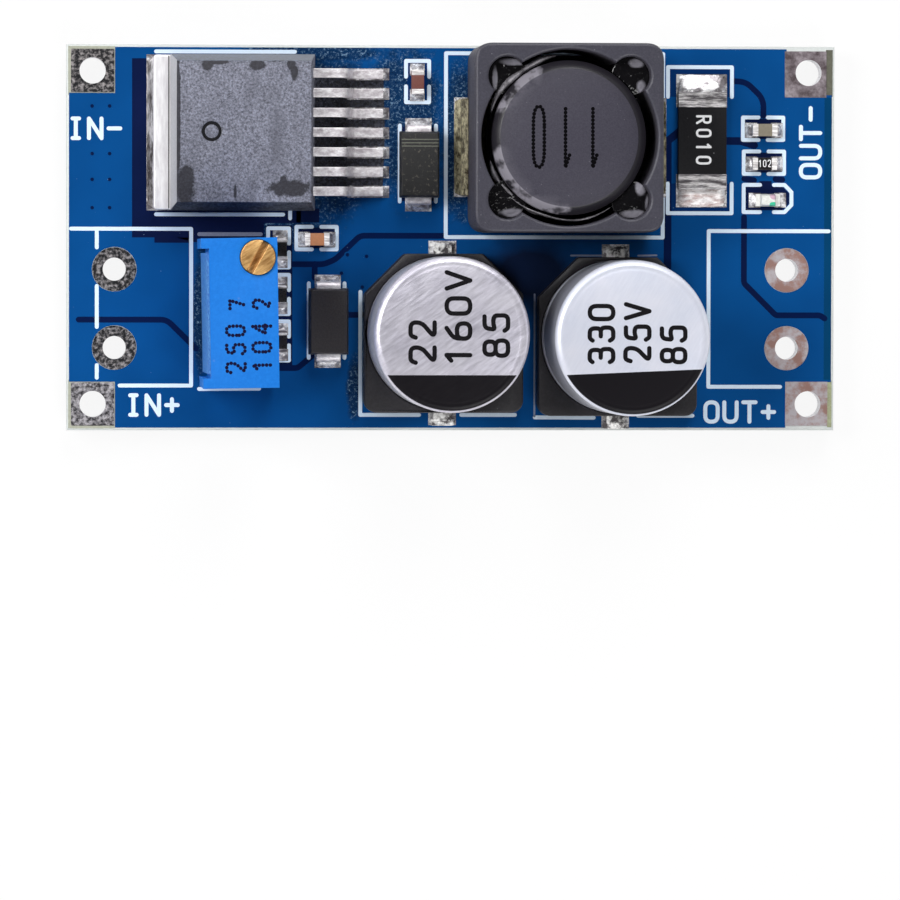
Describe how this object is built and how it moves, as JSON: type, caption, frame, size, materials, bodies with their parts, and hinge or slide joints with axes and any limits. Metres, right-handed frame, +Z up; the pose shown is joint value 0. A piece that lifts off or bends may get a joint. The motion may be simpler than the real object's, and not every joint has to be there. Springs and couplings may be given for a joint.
{
  "type": "buck converter module",
  "caption": "Small step-down converter board with a tab-cooled regulator, a shielded inductor, two electrolytic capacitors, a current shunt and a screw-adjusted trimmer.",
  "frame": {"origin": "centre of the board, between its four corner holes, on the underside of the laminate", "axes": "+X along the board from the input end to the output end, +Y across the board from the capacitors towards the inductor, +Z up out of the component side"},
  "size_m": [0.05, 0.025, 0.013],
  "materials": {
    "board_laminate": "blue solder mask over glass laminate, glossy, with tinned lands at its holes",
    "tinned_copper": "tinned copper, dull and speckled",
    "solder": "bright solder",
    "regulator_moulding": "grey-black moulding compound, scuffed",
    "tinned_leads": "matt tin plating",
    "diode_moulding": "black moulding compound",
    "ferrite": "dark grey pressed ferrite",
    "copper_wire": "enamelled copper wire",
    "glue": "dark cured glue",
    "can_aluminium": "brushed aluminium with a black mark",
    "capacitor_base": "black moulded plastic",
    "shunt_coating": "black coating with white numbers",
    "chip_end_caps": "tinned end caps",
    "resistor_coating": "black glass coating on white ceramic",
    "capacitor_ceramic": "brown ceramic",
    "lamp_carrier": "white carrier",
    "lamp_lens": "clear epoxy",
    "trimmer_plastic": "bright blue moulded plastic",
    "trimmer_potting": "blue-grey epoxy filling",
    "trimmer_ceramic": "white ceramic with a dark track",
    "screw_brass": "turned brass",
    "seal_rubber": "black rubber",
    "wheel_plastic": "natural nylon",
    "wiper_metal": "sprung copper alloy"
  },
  "bodies": {
    "board": {"bypass_capacitor_body": "capacitor_ceramic", "bypass_capacitor_terminals": "chip_end_caps", "capacitor_solder": "solder", "catch_diode_body": "diode_moulding", "catch_diode_leads": "tinned_leads", "chip_solder": "solder", "circuit_board": "board_laminate", "diode_solder": "solder", "indicator_lamp_body": "lamp_carrier", "indicator_lamp_lens": "lamp_lens", "indicator_lamp_terminals": "chip_end_caps", "inductor_core": "ferrite", "inductor_glue": "glue", "inductor_shield": "ferrite", "inductor_solder": "solder", "inductor_terminals": "tinned_leads", "inductor_winding": "copper_wire", "input_capacitor_base": "capacitor_base", "input_capacitor_can": "can_aluminium", "input_capacitor_leads": "tinned_leads", "input_chip_capacitor_body": "capacitor_ceramic", "input_chip_capacitor_terminals": "chip_end_caps", "input_diode_body": "diode_moulding", "input_diode_leads": "tinned_leads", "lamp_resistor_body": "resistor_coating", "lamp_resistor_terminals": "chip_end_caps", "lower_divider_resistor_body": "resistor_coating", "lower_divider_resistor_terminals": "chip_end_caps", "middle_divider_resistor_body": "resistor_coating", "middle_divider_resistor_terminals": "chip_end_caps", "output_capacitor_base": "capacitor_base", "output_capacitor_can": "can_aluminium", "output_capacitor_leads": "tinned_leads", "output_chip_capacitor_body": "capacitor_ceramic", "output_chip_capacitor_terminals": "chip_end_caps", "regulator_body": "regulator_moulding", "regulator_heat_tab": "tinned_leads", "regulator_leads": "tinned_leads", "regulator_solder": "solder", "shunt_body": "shunt_coating", "shunt_solder": "solder", "shunt_terminals": "chip_end_caps", "solder_lands": "tinned_copper", "trimmer_element": "trimmer_ceramic", "trimmer_housing": "trimmer_plastic", "trimmer_pins": "tinned_leads", "trimmer_potting": "trimmer_potting", "trimmer_solder": "solder", "upper_divider_resistor_body": "resistor_coating", "upper_divider_resistor_terminals": "chip_end_caps"},
    "screw": {"trimmer_screw": "screw_brass", "trimmer_seal": "seal_rubber"},
    "rotor": {"trimmer_wheel": "wheel_plastic", "trimmer_wiper": "wiper_metal"}
  },
  "joints": [
    {"name": "screw_turn", "type": "hinge", "parent": "board", "child": "screw", "pos_m": [-0.01294, -0.00129, 0.0119], "axis": [0, 0, 1], "continuous": true},
    {"name": "wheel_turn", "type": "hinge", "parent": "board", "child": "rotor", "pos_m": [-0.01288, -0.0048, 0.0064], "axis": [0.9998, 0.0175, 0], "continuous": true}
  ],
  "couplings": [
    {"joint": "wheel_turn", "follows": "screw_turn", "ratio": 0.029412}
  ]
}
